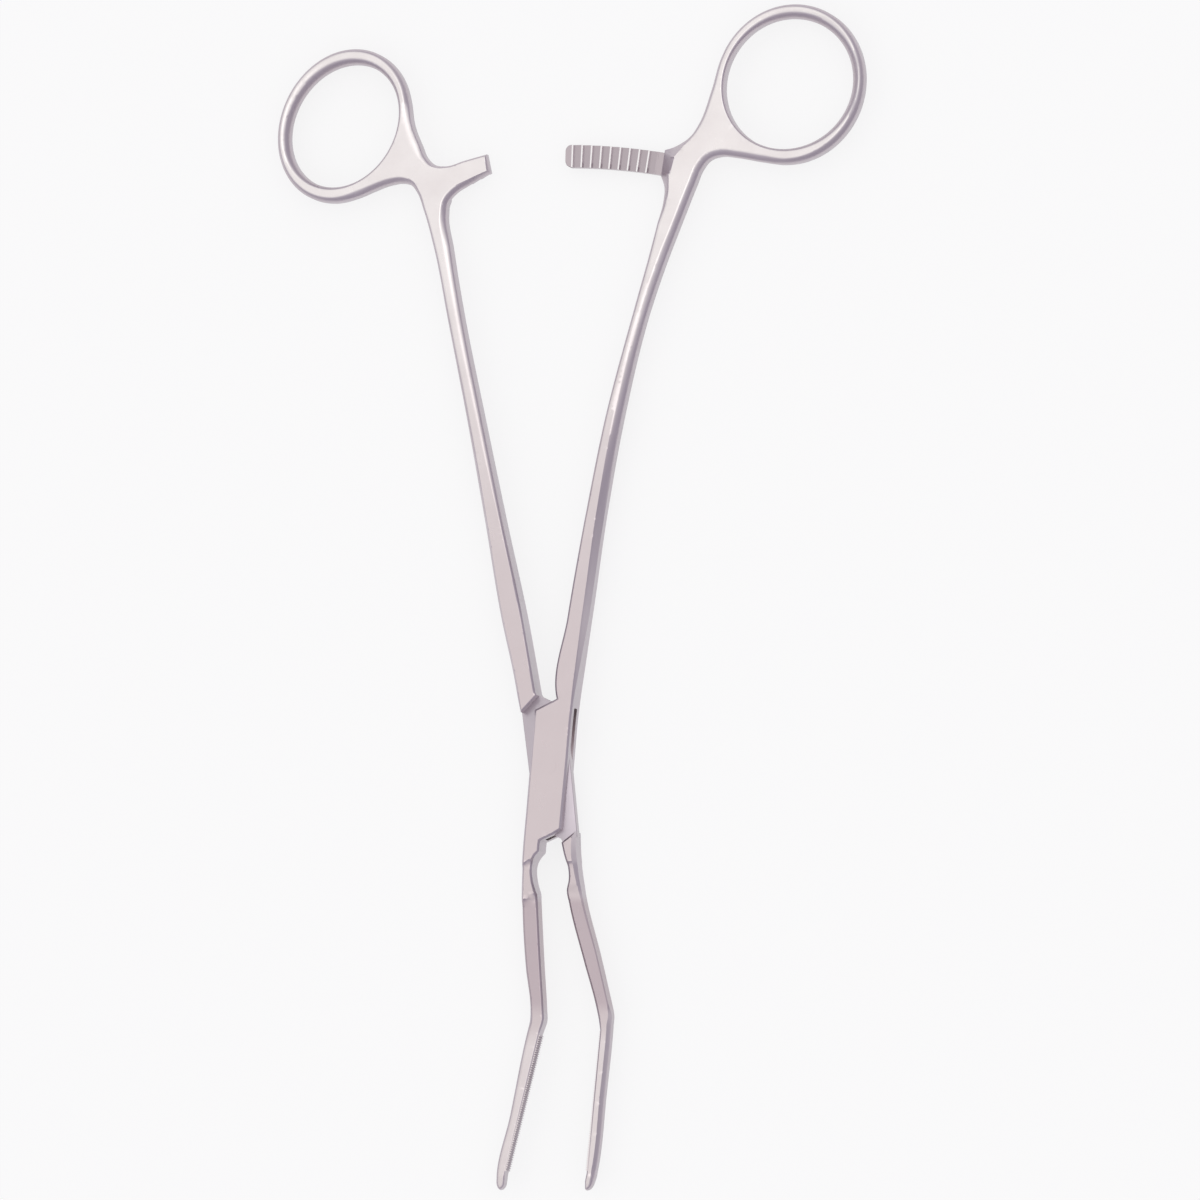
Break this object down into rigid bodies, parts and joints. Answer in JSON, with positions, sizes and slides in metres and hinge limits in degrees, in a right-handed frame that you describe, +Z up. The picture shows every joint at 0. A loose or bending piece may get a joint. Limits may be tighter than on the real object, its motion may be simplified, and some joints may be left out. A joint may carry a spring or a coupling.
{
  "type": "bronchus clamp",
  "caption": "Long surgical bronchus clamp in satin stainless steel, with oval finger rings, a ratchet, a box lock and angled serrated jaws, standing slightly open.",
  "frame": {"origin": "Where the pivot axis of the box lock meets the underside of the box.", "axes": "+X runs across the instrument to the half with the long ratchet arm, +Y along it from the lock to the finger rings, +Z up through the lock, along the pivot axis."},
  "size_m": [0.1214, 0.2357, 0.007],
  "materials": {
    "satin_steel": "satin",
    "pin_steel": "satin"
  },
  "bodies": {
    "box_body": {"box_half": "satin_steel", "lock_pin": "pin_steel"},
    "inner_body": {"inner_half": "satin_steel"}
  },
  "joints": [
    {"name": "lock_hinge", "type": "hinge", "parent": "box_body", "child": "inner_body", "pos_m": [0, 0, 0.0035], "axis": [0, 0, 1], "range_deg": [-11.2, 28.8]}
  ]
}
